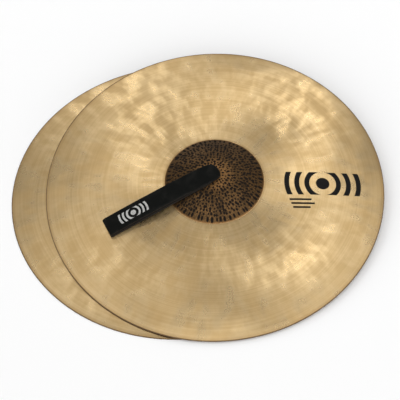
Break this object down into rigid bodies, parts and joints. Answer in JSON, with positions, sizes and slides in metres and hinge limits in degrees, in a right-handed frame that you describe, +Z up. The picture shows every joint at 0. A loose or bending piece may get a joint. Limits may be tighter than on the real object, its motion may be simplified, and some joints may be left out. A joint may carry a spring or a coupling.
{
  "type": "hand cymbals",
  "caption": "Pair of bronze hand cymbals with hammered bells, resting one on the other, each held by a folded black leather hand strap knotted through its centre hole.",
  "frame": {"origin": "under the middle of the whole pair as it lies, on the surface that the rear plate's rim stands on", "axes": "+Z up, +X along the shift of the front plate over the rear one, to its right as the player would see them with the marks upright, +Y away from the viewer"},
  "size_m": [0.5054, 0.4654, 0.0743],
  "materials": {
    "cymbal_bronze": "lathed, hammered bell bronze, bow bright with fine lathe lines, bell unlathed, dark and dimpled",
    "strap_leather": "smooth black leather, slight sheen"
  },
  "bodies": {
    "rear_plate": {"rear_cymbal": "cymbal_bronze"},
    "rear_knot": {"rear_strap_neck": "strap_leather", "rear_knot_tail_1": "strap_leather", "rear_knot_tail_2": "strap_leather", "rear_knot_tail_3": "strap_leather", "rear_knot_tail_4": "strap_leather"},
    "rear_loop": {"rear_strap_loop": "strap_leather"},
    "front_plate": {"front_cymbal": "cymbal_bronze"},
    "front_knot": {"front_strap_neck": "strap_leather", "front_knot_tail_1": "strap_leather", "front_knot_tail_2": "strap_leather", "front_knot_tail_3": "strap_leather", "front_knot_tail_4": "strap_leather"},
    "front_loop": {"front_strap_loop": "strap_leather"}
  },
  "joints": [
    {"name": "front_cymbal_lift", "type": "slide", "parent": "rear_plate", "child": "front_plate", "axis": [0, 0, 1], "range_m": [0, 0.25]},
    {"name": "front_strap_swivel", "type": "hinge", "parent": "front_plate", "child": "front_knot", "pos_m": [0.0242, -0.00465, 0.01935], "axis": [0, -0.0698, 0.9976], "continuous": true},
    {"name": "front_strap_raise", "type": "hinge", "parent": "front_knot", "child": "front_loop", "pos_m": [0.02218, -0.00902, 0.0695], "axis": [-0.3907, 0.9183, 0.0642], "range_deg": [0, 80]},
    {"name": "rear_strap_swivel", "type": "hinge", "parent": "rear_plate", "child": "rear_knot", "pos_m": [-0.0242, 0.00415, 0], "axis": [0, 0, 1], "range_deg": [-12, 12]},
    {"name": "rear_strap_raise", "type": "hinge", "parent": "rear_knot", "child": "rear_loop", "pos_m": [-0.02201, 0.00434, 0.0483], "axis": [0.0872, -0.9962, 0], "range_deg": [0, 75]}
  ],
  "couplings": [
    {"joint": "rear_strap_raise", "follows": "front_cymbal_lift", "rad_per_m": 5.2358}
  ]
}
